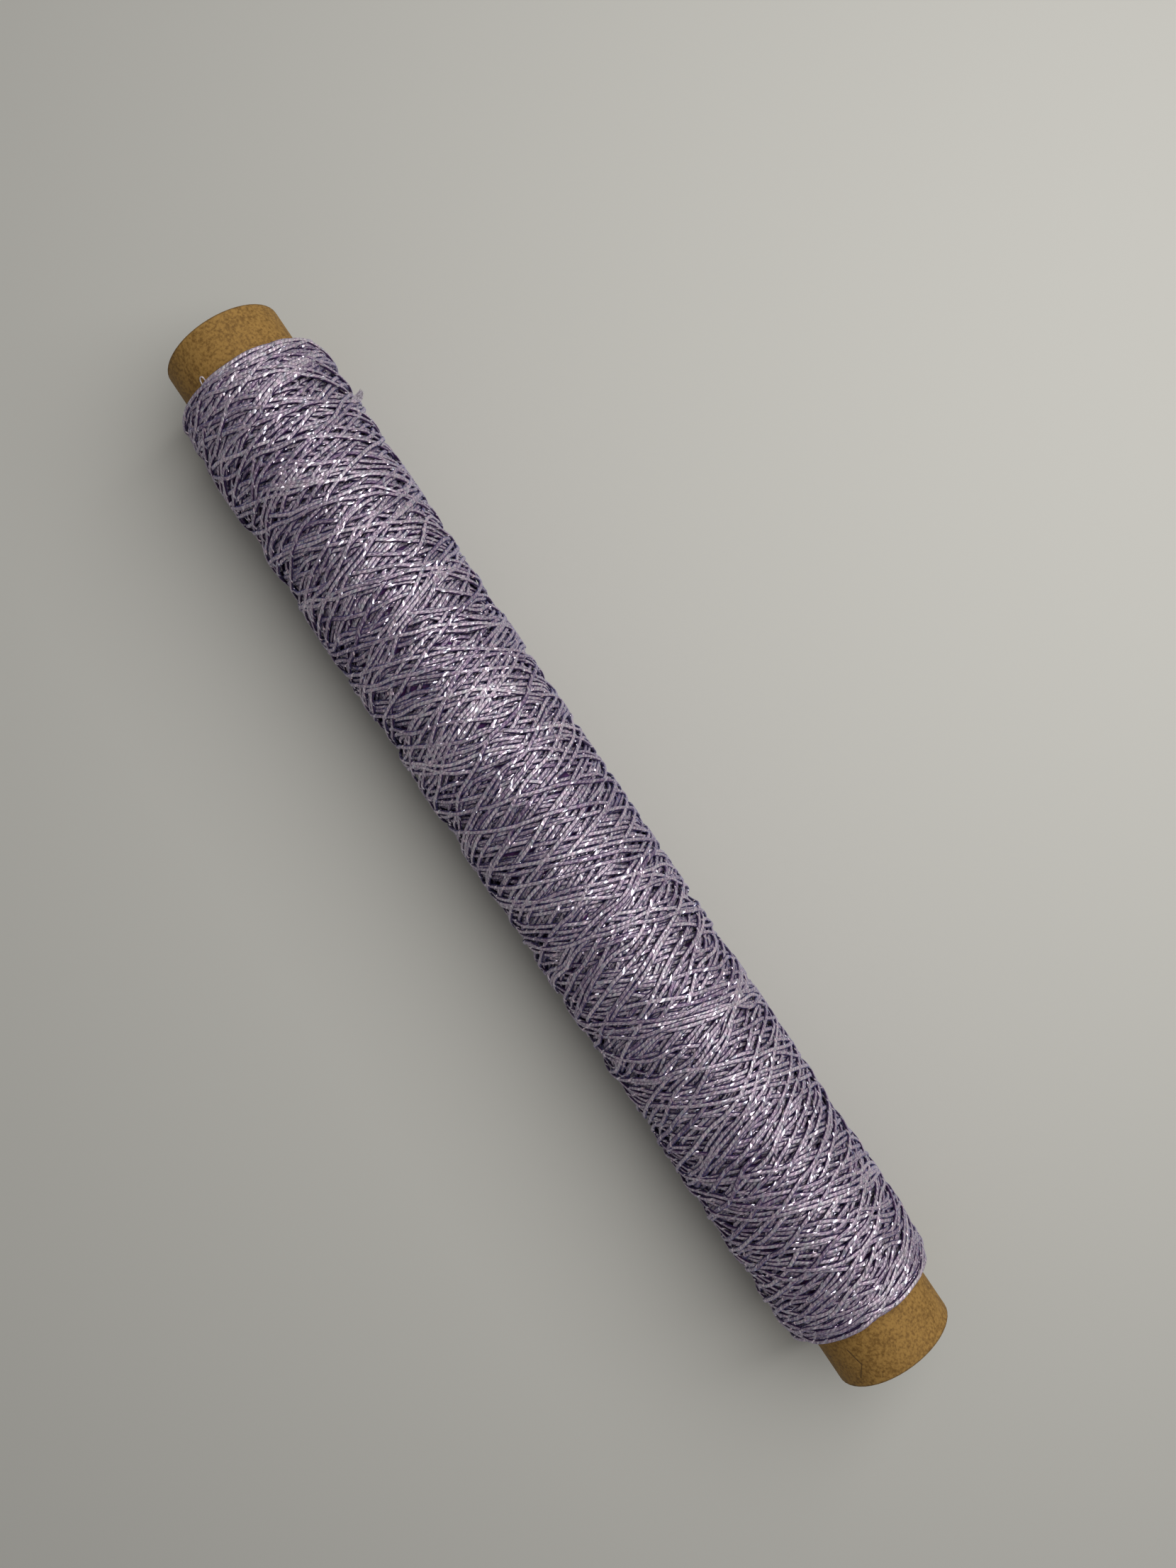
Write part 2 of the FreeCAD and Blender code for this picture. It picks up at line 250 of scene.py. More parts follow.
boardValues = {
    "light": (150, 127, 95), "dark": (112, 92, 64), "seamTone": (72, 56, 36),
    "flocs": 0.3, "fibres": 0.4,
    "strip": 38.0,               # width of the spirally wound paper, mm
    "seam": 0.5,                 # half the seam's width, mm
}


def makeBoard(name, values, shade, bore):
    # rougher board; in the bore it shows the spiral seam where the wound strip meets itself
    material, tree, shader = newMaterial(name)
    place = placeInMm(tree)
    grain = useGroup(tree, paperGrain, {"Place": place, "Floc size": values["flocs"]})
    light = tuple(c * shade for c in values["light"])
    dark = tuple(c * shade for c in values["dark"])
    tone = blendColour(tree, grain["Tone"], colour(*dark), colour(*light))
    tone = blendColour(tree, calc(tree, "MULTIPLY", grain["Fibre"], values["fibres"]), tone,
                       colour(*values["seamTone"]))
    height = grain["Height"]
    if bore:
        split = addNode(tree, "SeparateXYZ", inputs={0: place}).outputs
        turn = calc(tree, "DIVIDE", calc(tree, "ARCTAN2", split["Y"], split["Z"]), fullTurn)
        strip = calc(tree, "SUBTRACT", calc(tree, "DIVIDE", split["X"], values["strip"]), turn)
        offset = calc(tree, "ABSOLUTE", calc(tree, "SUBTRACT", calc(tree, "FRACT", strip), 0.5))
        seam = ease(tree, offset, 0.0, values["seam"] / values["strip"], 1.0, 0.0)
        tone = blendColour(tree, calc(tree, "MULTIPLY", seam, 0.7), tone,
                           colour(*values["seamTone"]))
        height = calc(tree, "MULTIPLY_ADD", seam, -1.2, height)
    bump = addNode(tree, "Bump", inputs={"Strength": 0.5, "Distance": 0.06 * mm, "Height": height})
    tree.links.new(tone, shader.inputs["Base Color"])
    tree.links.new(ease(tree, grain["Tone"], 0.0, 1.0, 0.78, 0.92), shader.inputs["Roughness"])
    tree.links.new(bump.outputs[0], shader.inputs["Normal"])
    shader.inputs["Specular IOR Level"].default_value = 0.25
    return material


def dress(nodeName, material):
    # gives a carried-over solid its finish
    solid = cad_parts[nodeName]
    solid.data.materials.clear()
    solid.data.materials.append(material)


dress("tube_cover_ply", makeKraft(kraftValues))
dress("tube_body_ply_2", makeBoard("boardOuter", boardValues, 0.98, False))
dress("tube_body_ply_1", makeBoard("boardMiddle", boardValues, 0.9, False))
dress("tube_inner_ply", makeBoard("boardBore", boardValues, 1.0, True))
print("tube dressed")


# Meshes from whole arrays.

def newPiece(name, places, starts, corners, material, slotName, smooth=True, maps=None):
    # places in mm; starts is each face's first corner, corners the places' numbers
    mesh = bpy.data.meshes.new(name)
    mesh.vertices.add(len(places))
    mesh.vertices.foreach_set("co", (np.asarray(places) * mm).astype(np.float32).ravel())
    mesh.loops.add(len(corners))
    mesh.loops.foreach_set("vertex_index", np.asarray(corners, dtype=np.int32).ravel())
    mesh.polygons.add(len(starts))
    mesh.polygons.foreach_set("loop_start", np.asarray(starts, dtype=np.int32))
    for mapName, spots in (maps or {}).items():
        layer = mesh.uv_layers.new(name=mapName)
        layer.data.foreach_set("uv", np.asarray(spots, dtype=np.float32).ravel())
    mesh.update(calc_edges=True)
    mesh.validate()
    mesh.polygons.foreach_set("use_smooth", np.full(len(mesh.polygons), smooth))
    mesh.materials.append(material)
    piece = bpy.data.objects.new(name, mesh)
    bpy.context.scene.collection.objects.link(piece)
    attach(piece, "root")
    return piece


def pathFrame(places, outward):
    # along the path, square to it and outward, and square to both
    way = np.gradient(places, axis=0)
    way /= np.linalg.norm(way, axis=1, keepdims=True)
    up = outward - (outward * way).sum(1, keepdims=True) * way
    up /= np.linalg.norm(up, axis=1, keepdims=True)
    return way, up, np.cross(up, way)


def strandShape(places, outward, wide, high, sides):
    # an oval carried along the path: place + side * wide / 2 * cos(a) + up * high / 2 * sin(a)
    way, up, side = pathFrame(places, outward)
    a = np.arange(sides) / sides * fullTurn
    wide = np.broadcast_to(wide, len(places))[:, None, None] / 2
    high = np.broadcast_to(high, len(places))[:, None, None] / 2
    ring = (side[:, None] * np.cos(a)[None, :, None] * wide
            + up[:, None] * np.sin(a)[None, :, None] * high)
    return places[:, None] + ring


def strandFaces(count, sides, first=0):
    # quads between neighbouring rings, and one face to close each end
    ring = np.arange(count - 1)[:, None] * sides
    j, k = np.arange(sides)[None], (np.arange(sides)[None] + 1) % sides
    quads = np.stack([ring + j, ring + k, ring + k + sides, ring + j + sides], -1).reshape(-1, 4)
    near = np.arange(sides)[::-1]
    far = (count - 1) * sides + np.arange(sides)
    starts = np.concatenate([np.arange(len(quads)) * 4, len(quads) * 4 + np.array([0, sides])])
    corners = np.concatenate([quads.ravel(), near, far]) + first
    return starts, corners


def strandMaps(along, sides, rows):
    # yarnRun: mm along the strand and share of the way round. OFBake: the strand in rows.
    count = len(along)
    ahead = np.array([0, 0, 1, 1])
    round4 = (np.arange(sides)[:, None] + np.array([0, 1, 1, 0])[None]) / sides
    i = np.arange(count - 1)
    runU = along[i[:, None] + ahead[None]][:, None, :].repeat(sides, 1)
    runV = np.broadcast_to(round4[None], (count - 1, sides, 4))
    perRow = math.ceil((count - 1) / rows)
    pad = 0.06                   # gap between the rows, as a share of a row
    rowOf, spot = i // perRow, i % perRow
    bakeU = ((spot[:, None] + ahead[None]) / perRow)[:, None, :].repeat(sides, 1)
    bakeU = 0.002 + 0.996 * bakeU
    bakeV = (rowOf[:, None, None] + pad + (1 - 2 * pad) * round4[None]) / rows
    a = np.arange(sides) / sides * fullTurn
    caps = {"u": np.cos(a), "v": np.sin(a)}
    endsRun = np.concatenate([
        np.stack([np.full(sides, along[e]), 0.5 + 0.1 * caps["u"]], -1) for e in (0, -1)])
    # each end's face is a small round patch in the gap under the first row or the last
    capSize = 0.2 / rows
    endsBake = np.concatenate([
        np.stack([capSize * (1 + caps["u"][::way]) + e * (0.998 - 3 * capSize),
                  (rowsAt + pad / 2 + pad / 3 * caps["v"][::way]) / rows], -1)
        for e, way, rowsAt in ((0, -1, 0), (1, 1, rows - 1))])
    run = np.concatenate([np.stack([runU, runV], -1).reshape(-1, 2), endsRun])
    bake = np.concatenate([np.stack([bakeU, bakeV], -1).reshape(-1, 2), endsBake])
    return {"OFBake": bake, "yarnRun": run}


def roundShape(profile, count):
    # a closed profile of (x, radius) turned round the tube's axis
    a = np.arange(count) / count * fullTurn
    x = np.repeat(profile[:, 0][:, None], count, 1)
    y = profile[:, 1][:, None] * np.sin(a)[None]
    z = profile[:, 1][:, None] * np.cos(a)[None]
    places = np.stack([x, y, z], -1).reshape(-1, 3)
    n = len(profile)
    i, j = np.arange(n)[:, None], np.arange(count)[None]
    i2, j2 = (i + 1) % n, (j + 1) % count
    quads = np.stack([i * count + j, i * count + j2, i2 * count + j2, i2 * count + j], -1)
    return places, quads.reshape(-1, 4)


# Yarn: film wound round a soft core, so a bright stripe turns round every strand.

def makeFilmStripe():
    # the stripe is where the share of the way round, added to the turns made along the strand,
    # comes within half the film's width of a half
    group, given, out = newGroup(
        "filmStripe",
        {"Run": ("vector", None), "Pitch": ("value", 3.2), "Width": ("value", 0.175)},
        {"Film": "value", "Height": "value", "Fuzz": "value", "Tone": "value", "FlankShade": "value",
         "Tint": "value", "GrooveShade": "value", "Lean": "vector"})
    tree = group
    split = addNode(tree, "SeparateXYZ", inputs={0: given["Run"]}).outputs
    along, around = split["X"], split["Y"]
    lineOnly = addNode(tree, "CombineXYZ", inputs={0: along}).outputs[0]
    uneven = noise(tree, lineOnly, 0.09, 2.0)
    turns = calc(tree, "DIVIDE", along, given["Pitch"])
    turns = calc(tree, "MULTIPLY_ADD", uneven, 2.2, turns)
    share = calc(tree, "FRACT", calc(tree, "ADD", turns, around))
    offset = calc(tree, "ABSOLUTE", calc(tree, "SUBTRACT", share, 0.5))
    half = calc(tree, "MULTIPLY", given["Width"], 0.5)
    reach = calc(tree, "DIVIDE", offset, half)
    stripe = ease(tree, reach, 0.82, 1.05, 1.0, 0.0)
    bare = ease(tree, noise(tree, lineOnly, 0.7, 1.0), 0.34, 0.46)
    film = calc(tree, "MULTIPLY", stripe, bare)
    tree.links.new(film, out["Film"])
    ply = calc(tree, "MULTIPLY", calc(tree, "ADD", calc(tree, "DIVIDE", along, 1.5), around),
               2 * fullTurn)
    angle = calc(tree, "MULTIPLY", around, fullTurn)
    roll = addNode(tree, "CombineXYZ", inputs={
        0: calc(tree, "MULTIPLY", along, 0.9),
        1: calc(tree, "MULTIPLY", calc(tree, "SINE", angle), 1.6),
        2: calc(tree, "MULTIPLY", calc(tree, "COSINE", angle), 1.6)}).outputs[0]
    fuzz = noise(tree, roll, 2.4, 3.0, 0.6)
    tree.links.new(fuzz, out["Fuzz"])
    # height: the twist of the plies, with fuzz
    groove = calc(tree, "SINE", ply)
    tree.links.new(calc(tree, "MULTIPLY_ADD", groove, 0.25, calc(tree, "MULTIPLY", fuzz, 1.3)),
                   out["Height"])
    # the plies' grooves, as a mask for painted shade in them
    tree.links.new(ease(tree, groove, -0.9, 0.1, 1.0, 0.0), out["GrooveShade"])
    # each short length of film lies flat and leans its own way
    cell = addNode(tree, "TexVoronoi", {"voronoi_dimensions": "1D"}, {
        "W": along, "Scale": 1.5, "Randomness": 1.0}).outputs["Color"]
    lean = vectorCalc(tree, "SUBTRACT", cell, (0.5, 0.5, 0.5))
    tree.links.new(lean, out["Lean"])
    tree.links.new(ease(tree, noise(tree, lineOnly, 0.9, 1.0), 0.35, 0.65), out["Tint"])
    tree.links.new(noise(tree, lineOnly, 0.035, 3.0), out["Tone"])
    # the strand's flanks and underside, away from the quarter of the way round that faces out: the
    # mask of painted shade
    tree.links.new(ease(tree, calc(tree, "SINE", angle), 0.54, 0.82, 1.0, 0.0), out["FlankShade"])
    return group


filmStripe = makeFilmStripe()

yarnValues = {
    "fibreLight": (249, 226, 238), "fibreGrey": (228, 226, 227), "fibreDark": (118, 93, 126),
    "filmCool": (214, 213, 230), "filmWarm": (238, 214, 228),
    # painted shade: a dark violet laid on the strands' flanks and undersides and in the plies'
    # grooves, where shade falls between the strands
    "flankTone": (54, 18, 68),   # between the strands
    "flank": 0.98,               # how much of it a strand's flanks take
    "open": 0.5,                 # how much less they take in the package's end faces
    "endFace": (0.066, 0.084),   # m along the tube times the surface's share to +X
    "groove": 0.35,              # how much of it the plies' twist takes
    "pitch": 3.2,                # one turn of the film along the strand, mm
    "filmWidth": 0.175,          # its width, as a share of that turn
    "flat": 0.5, "lean": 0.9,    # how flat the film lies on the winding, and how much it leans
    "sheenTint": (0.34, 0.4, 1.0, 1),
}


def makeYarn(name, values):
    material, tree, shader = newMaterial(name)
    run = addNode(tree, "UVMap", {"uv_map": "yarnRun"}).outputs[0]
    yarn = useGroup(tree, filmStripe, {
        "Run": run, "Pitch": values["pitch"], "Width": values["filmWidth"]})
    share = calc(tree, "MULTIPLY_ADD", yarn["Fuzz"], 0.7,
                 calc(tree, "MULTIPLY", yarn["Tone"], 0.6))
    bright = blendColour(tree, yarn["Tint"], colour(*values["fibreGrey"]),
                         colour(*values["fibreLight"]))
    fibre = blendColour(tree, ease(tree, share, 0.5, 0.8), colour(*values["fibreDark"]), bright)
    # the painted shade on the flanks is weaker where they make up the package's end faces, which
    # lie open to the light
    place = addNode(tree, "TexCoord").outputs["Object"]
    strand = addNode(tree, "NewGeometry").outputs["Normal"]
    ways = [addNode(tree, "SeparateXYZ", inputs={0: part}).outputs["X"] for part in (place, strand)]
    out = ease(tree, calc(tree, "MULTIPLY", *ways), *values["endFace"])
    flank = calc(tree, "MULTIPLY", yarn["FlankShade"],
                 calc(tree, "MULTIPLY_ADD", out, -values["open"], values["flank"]))
    # painted shade: the larger of the flank mask and the plies' groove mask, laid in the dark flank
    # tone
    deep = calc(tree, "MAXIMUM", flank, calc(tree, "MULTIPLY", yarn["GrooveShade"], values["groove"]))
    fibre = blendColour(tree, deep, fibre, colour(*values["flankTone"]))
    film = blendColour(tree, yarn["Tint"], colour(*values["filmCool"]), colour(*values["filmWarm"]))
    tone = blendColour(tree, yarn["Film"], fibre, film)
    tree.links.new(tone, shader.inputs["Base Color"])
    tree.links.new(ease(tree, yarn["Film"], 0.0, 1.0, 0.5, 0.95), shader.inputs["Metallic"])
    tree.links.new(ease(tree, yarn["Film"], 0.0, 1.0, 0.35, 0.2), shader.inputs["Roughness"])
    bump = addNode(tree, "Bump", inputs={
        "Strength": 0.75, "Distance": 0.1 * mm, "Height": yarn["Height"]})
    # film normal: the winding's own outward way and the strand's, leaning
    outward = vectorCalc(tree, "NORMALIZE", vectorCalc(tree, "MULTIPLY", place, (0, 1, 1)))
    flat = addNode(tree, "Mix", {"data_type": "VECTOR"}, {
        0: values["flat"], 4: strand, 5: outward}).outputs[1]
    leaning = vectorCalc(tree, "ADD", flat, vectorCalc(tree, "SCALE", yarn["Lean"],
                                                       scale=values["lean"]))
    facing = addNode(tree, "Mix", {"data_type": "VECTOR"}, {
        0: yarn["Film"], 4: bump.outputs[0], 5: vectorCalc(tree, "NORMALIZE", leaning)}).outputs[1]
    tree.links.new(vectorCalc(tree, "NORMALIZE", facing), shader.inputs["Normal"])
    shader.inputs["Specular IOR Level"].default_value = 0.3
    shader.inputs["Sheen Weight"].default_value = 0.3
    shader.inputs["Sheen Roughness"].default_value = 0.4
    shader.inputs["Sheen Tint"].default_value = values["sheenTint"]
    return material


yarnMaterial = makeYarn("metallisedYarn", yarnValues)

windingValues = {
    # the thread and its traverses; lengths in mm
    "wide": 0.76, "high": 0.52,
    "passes": 132,               # traverses laid on the core
    "turns": 6.4,                # turns in a traverse
    "turnSpread": 0.35,          # spread of the turns from one traverse to the next
    "left": -86.5, "right": 85.0,   # middle of the outermost turns
    "edgeSpread": 3.4,           # how far short a traverse may turn back
    "tipRound": 0.07,            # rounding of the turn back
    "seed": 41,
    # where a traverse falls
    "beside": (0.68, 1.0),       # spacing to the last strand of the same way
    "tries": 22,                 # other places where it may fall
    "hollow": 0.3,               # depth of a hollow that draws a strand in
    "bundle": 0.05,              # how much higher it may climb to stay beside the last
    # how it lies
    "squeeze": 0.16,             # how far a strand sinks into those under it
    "bridge": 14,                # furthest points that hold a strand up between them
    "slide": 0.6,                # how far it may slip into the hollow beside it
    "slideOver": 19,             # points along it that slip together
    "slideCost": 0.3,
    "waveLength": (22, 80), "waveLean": 0.09,       # wandering shared with its neighbours
    "creep": 0.2,                # drift of the shared waves from traverse to traverse
    "wanderLength": (5, 18), "wanderLean": 0.035,   # its own small wandering
    # the chart of heights and the package's face
    "step": 0.5,                 # between the points that are laid
    "cell": 0.15,
    "rise": 0.0166,              # mean growth of the package by one traverse
    "edgeBumps": 0.28,           # how uneven the surface may be at a shoulder
    "calmWidth": 21, "calmReach": 6,   # cells that are averaged, and mm of calmed edge
    # the last traverse: degrees from where it crosses the middle, and place along the tube
    "lastMiddle": 50.5,
    "lastRun": [(0, 0), (258, -19.4), (273.5, -21.5), (287.5, -23.8), (297.5, -25.6),
                (307.5, -26.8), (316.5, -28.4), (1030, -75.4), (1056, -75.2),
                (1076.5, -74.5)],
    "lastSoft": 25,              # points over which its corners are rounded
    "endReach": 5.6,             # free run of the cut end
    "endDrift": 0.14,            # its share to +X
    # meshes
    "pieces": 6, "sides": 6, "every": 2, "rows": 120,   # rows of the strand on its baked map
    "pieceShift": 7.0,           # shift of the film pattern from piece to piece
}

packageValues = {
    "left": -87.3, "right": 85.8,
    "full": 12.86, "edge": 10.75, "shoulder": 4.8,
    "lean": 0.12,                # the package sits this far to +Y of the axis
    "highest": 13.15, "lowest": -13.13,   # limits for the strands' middles
    "coreDepth": 1.45,           # from the package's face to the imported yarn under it
    "coreInset": 0.9, "coreLeast": 10.2, "coreBore": 10.04,
}


def softWindow(width):
    # a Hann window whose sum is 1
    window = np.hanning(width)
    return window / window.sum()


def smoothed(values, width):
    padded = np.pad(values, width // 2, mode="edge")
    return np.convolve(padded, softWindow(width), "valid")[:len(values)]


def packageRadius(x):
    # full radius, less a quarter ellipse over the shoulder at each end
    v = packageValues
    inset = np.minimum(x - v["left"], v["right"] - x)
    t = np.clip(1 - inset / v["shoulder"], 0, 1)
    return v["edge"] + (v["full"] - v["edge"]) * np.sqrt(1 - t ** 2)


def nextCrossings(crossings, v, rng):
    # angles at which the next traverse may cross the middle:
    # beside the last of its own way, or anywhere
    pitch = (v["right"] - v["left"]) / v["turns"]
    aimed = crossings[-1] + (v["turns"] + rng.normal(0, v["turnSpread"])) * fullTurn
    own = crossings[-2] if len(crossings) > 1 else rng.uniform(0, fullTurn)
    way = 1 if len(crossings) % 2 else -1
    beside = own + way * rng.uniform(*v["beside"], 2) / pitch * fullTurn
    tries = np.concatenate([beside, aimed + rng.uniform(-0.5, 0.5, v["tries"]) * fullTurn])
    return aimed + (tries - aimed + math.pi) % fullTurn - math.pi


def edgeShare(x, v):
    # 0 in the middle of the winding and 1 at either edge
    return np.clip(np.abs(2 * (x - v["left"]) / (v["right"] - v["left"]) - 1), 0, 1)


def driftOf(x, number, v, waves):
    # slow sideways wandering, nearly the same for neighbours that go the same way
    family = waves[number % 2]
    swing = np.sin(x[:, None] / family["length"] * fullTurn + family["phase"]
                   + number * family["creep"]) * family["reach"]
    return swing.sum(1) * (1 - edgeShare(x, v) ** 6)


def wanderOf(s, v, chance):
    # a strand's own small wandering: six waves along it, each with its length and phase
    length = v["wanderLength"][0] + chance[0] * (v["wanderLength"][1] - v["wanderLength"][0])
    waves = np.sin(s[:, None] / length * fullTurn + chance[1] * fullTurn)
    return (waves * length * v["wanderLean"] / fullTurn).sum(1) * (1 + chance[0].mean())


def sweepPath(number, start, end, short, v, waves, chance):
    # from the middle to one end and back: x = reach * (w - sqrt((2 t - 1)^2 + e^2)) / (w - e)
    count = int((end - start) * packageValues["full"] / v["step"])
    t = np.arange(count) / count
    e = v["tipRound"]
    w = math.sqrt(1 + e * e)
    tip = (w - np.sqrt((2 * t - 1) ** 2 + e * e)) / (w - e)
    reach = v["right"] - short if number % 2 == 0 else v["left"] + short
    x = reach * tip
    x = x + np.where(t < 0.5, driftOf(x, number, v, waves), driftOf(x, number + 1, v, waves))
    x = x + wanderOf(t * count * v["step"], v, chance) * np.minimum(1, 12 * np.minimum(t, 1 - t))
    return start + (end - start) * t, np.clip(x, v["left"], v["right"])


def lastPath(start, v):
    # the last traverse follows its own points, one of them a hurried slant across the top
    turned, place = np.array(v["lastRun"]).T
    angle = np.radians(turned)
    count = int(angle[-1] * packageValues["full"] / v["step"])
    fine = np.linspace(0, angle[-1], count + 1)
    x = np.interp(fine, angle, place)
    soft = softWindow(v["lastSoft"])
    edge = v["lastSoft"] // 2
    x[edge:-edge] = np.convolve(x, soft, "same")[edge:-edge]
    return start + fine, x


def settled(x, turn, heights, low, v):
    # a strand slides sideways into the hollow beside it, as far as its neighbours along it let it
    column = low + np.arange(len(heights)) * v["cell"]
    level = heights - packageRadius(column)[:, None]
    slides = np.linspace(-v["slide"], v["slide"], 13)
    soft = softWindow(v["slideOver"])
    half = len(soft) // 2
    edge = edgeShare(x, v)
    done = np.linspace(0, 1, len(x))
    free = (1 - edge ** 40) * np.minimum(1, 14 * np.minimum(done, 1 - done))
    for _ in range(2):
        row = np.rint((x[:, None] + slides - low) / v["cell"]).astype(int)
        ground = level[np.clip(row, 0, len(level) - 1), turn[:, None]]
        padded = np.pad(ground, ((half, half), (0, 0)), mode="edge")
        ground = sum(w * padded[k:k + len(x)] for k, w in enumerate(soft))
        best = slides[np.argmin(ground + v["slideCost"] * slides ** 2, axis=1)]
        x = x + free * np.convolve(np.pad(best, half, mode="edge"), soft, "valid")
    return x


def tautOver(support, step, radius, span):
    # a taut strand: the least line over its supports that never curves in more than a straight one.
    # Less s^2 / 2R, that is the concave hull, from the chords between up to span points each way
    n = len(support)
    sag = (np.arange(-span, n + span) - n / 2) ** 2 * step ** 2 / (2 * radius)
    padded = np.pad(support, span, mode="edge") - sag
    best = padded[span:span + n].copy()
    for back in range(1, span + 1):
        before = padded[span - back:span - back + n]
        for ahead in range(1, span + 1):
            after = padded[span + ahead:span + ahead + n]
            best = np.maximum(best, (ahead * before + back * after) / (back + ahead))
    return best + sag[span:span + n]


def sharedWaves(v, rng):
    # one set of slow waves for each way of the traverses
    waves = []
    for way in range(2):
        length = rng.uniform(v["waveLength"][0], v["waveLength"][1], 4)
        waves.append({"length": length, "phase": rng.uniform(0, fullTurn, 4),
                      "creep": rng.normal(0, v["creep"], 4),
                      "reach": length * v["waveLean"] / fullTurn * rng.uniform(0.5, 1, 4)})
    return waves


def choosePath(number, crossings, short, chance, heights, low, v, waves, rng):
    # of the paths it may take, the thread falls into the one with the deepest hollows
    around = heights.shape[1]
    mean = heights.mean(1)
    ends = nextCrossings(crossings, v, rng)
    paths = [sweepPath(number, crossings[-1], end, short, v, waves, chance) for end in ends]
    climb = []
    for angle, x in paths:
        row = np.rint((x - low) / v["cell"]).astype(int)
        depth = mean[row] - heights[row, (angle / fullTurn % 1 * around).astype(int)]
        climb.append(-math.log(np.exp(depth / v["hollow"]).mean()) * v["hollow"])
    climb[0] -= v["bundle"]
    climb[1] -= v["bundle"]
    best = int(np.argmin(climb))
    crossings.append(ends[best])
    return paths[best]


def layYarn(v, rng):
    # lays every traverse on a chart of heights over place and angle, each on those before it
    cell = v["cell"]
    low = v["left"] - 2
    rows = int((v["right"] + 2 - low) / cell) + 1
    around = int(fullTurn * packageValues["full"] / cell)
    column = low + np.arange(rows) * cell
    rise = v["passes"] * v["rise"]
    heights = np.repeat((packageRadius(column) - rise)[:, None], around, 1)
    half = v["wide"] / 2
    reach = int(math.ceil(half / cell))
    offsets = np.array([(a, b) for a in range(-reach, reach + 1) for b in range(-reach, reach + 1)])
    waves = sharedWaves(v, rng)
    crossings = [0.0]
    angles, places, radii = [], [], []
    for number in range(v["passes"] + 1):
        short = rng.random() ** 1.6 * v["edgeSpread"]
        chance = rng.random((2, 6))
        if number < v["passes"] - 1:
            angle, x = choosePath(number, crossings, short, chance, heights, low, v, waves, rng)
        elif number < v["passes"]:
            # the last full traverse ends where the marked one starts
            aimed = crossings[-1] + v["turns"] * fullTurn
            last = math.radians(v["lastMiddle"])
            end = aimed + (last - aimed + math.pi) % fullTurn - math.pi
            angle, x = sweepPath(number, crossings[-1], end, short, v, waves, chance)
            crossings.append(end)
        else:
            angle, x = lastPath(crossings[-1], v)
        turn = angle / fullTurn % 1 * around
        if number < v["passes"]:
            x = np.clip(settled(x, turn.astype(int), heights, low, v), v["left"], v["right"])
        row = (x - low) / cell
        nearRow, nearTurn = np.rint(row).astype(int), np.rint(turn).astype(int)
        rowsAt = np.clip(nearRow[:, None] + offsets[:, 0], 0, rows - 1)
        turnsAt = nearTurn[:, None] + offsets[:, 1]
        away = np.hypot((rowsAt - row[:, None]), (turnsAt - turn[:, None])) * cell
        lift = np.sqrt(np.clip(half ** 2 - away ** 2, 0, None)) * v["high"] / v["wide"]
        spot = rowsAt * around + turnsAt % around
        under = np.where(away < half, heights.ravel()[spot] + lift, 0).max(1)
        radius = tautOver(under - v["squeeze"], v["step"], packageValues["full"], v["bridge"])
        soft = np.array([0.25, 0.5, 0.25])
        radius[1:-1] = np.convolve(radius, soft, "same")[1:-1]
        np.maximum.at(heights.reshape(-1), spot[away < half], (radius[:, None] + lift)[away < half])
        angles.append(angle)
        places.append(x)
        radii.append(radius)
    return np.concatenate(angles), np.concatenate(places), np.concatenate(radii), column, heights


def woundPlaces(v, rng):
    angle, x, radius, column, heights = layYarn(v, rng)
    # the wound face is then shifted to the package's own profile, and calmed at the shoulders
    mean = smoothed(heights.mean(1), v["calmWidth"])
    rough = smoothed(heights.std(1), v["calmWidth"])
    calm = np.minimum(1, v["edgeBumps"] / rough)
    middle, reach = (v["left"] + v["right"]) / 2, (v["right"] - v["left"]) / 2
    inner = np.abs(column - middle) < reach - v["calmReach"]
    calm = np.maximum(calm, smoothed(inner.astype(float), v["calmWidth"]))
    radius = (np.interp(x, column, packageRadius(column) - v["high"] / 2)
              + (radius - np.interp(x, column, mean - v["high"] / 2)) * np.interp(x, column, calm))
    radius[1:-1] = (radius[:-2] + 2 * radius[1:-1] + radius[2:]) / 4
    print("winding unevenness", round(float(np.median(rough)), 3), "mm, growth by a traverse",
          round(float(np.median(mean - packageRadius(column))) / v["passes"] + v["rise"], 4), "mm")
    radius = radius + packageValues["lean"] * np.sin(angle)
    radius = np.minimum(radius, packageValues["highest"])
    y, z = radius * np.sin(angle), radius * np.cos(angle)
    outward = np.stack([np.zeros_like(y), np.sin(angle), np.cos(angle)], -1)
    z = np.maximum(z, packageValues["lowest"])
    return np.stack([x, y, z], -1), outward


